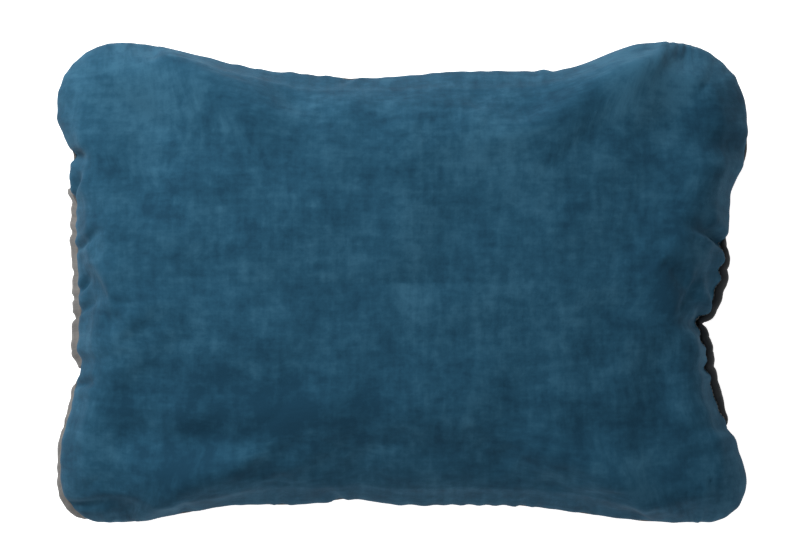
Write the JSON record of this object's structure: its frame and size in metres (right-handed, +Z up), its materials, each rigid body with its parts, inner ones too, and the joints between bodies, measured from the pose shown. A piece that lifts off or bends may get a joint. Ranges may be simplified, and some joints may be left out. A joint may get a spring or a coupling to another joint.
{
  "type": "camp pillow",
  "caption": "Stuffed camp pillow with a soft face panel, a woven back panel, and a gathered tunnel mouth with a stow pocket at one end.",
  "frame": {"origin": "under the middle of the pillow, on the surface that its back panel rests on", "axes": "+X along the pillow's length, towards the end with the gathered mouth; +Y across its width; +Z up, out of its soft face"},
  "size_m": [0.565, 0.393, 0.15],
  "materials": {
    "face_suede": "brushed suede",
    "back_weave": "plain woven",
    "tunnel_weave": "plain woven",
    "pocket_taffeta": "smooth taffeta",
    "foam": "open-cell foam",
    "thread": "spun polyester thread",
    "label": "satin tape"
  },
  "bodies": {
    "root": {"front_panel": "face_suede", "back_panel": "back_weave", "foam_fill": "foam", "seam_overlock": "thread", "mouth_tunnel": "tunnel_weave", "pocket_liner": "pocket_taffeta", "care_label": "label", "near_bar_tack": "thread", "far_bar_tack": "thread"}
  },
  "joints": []
}
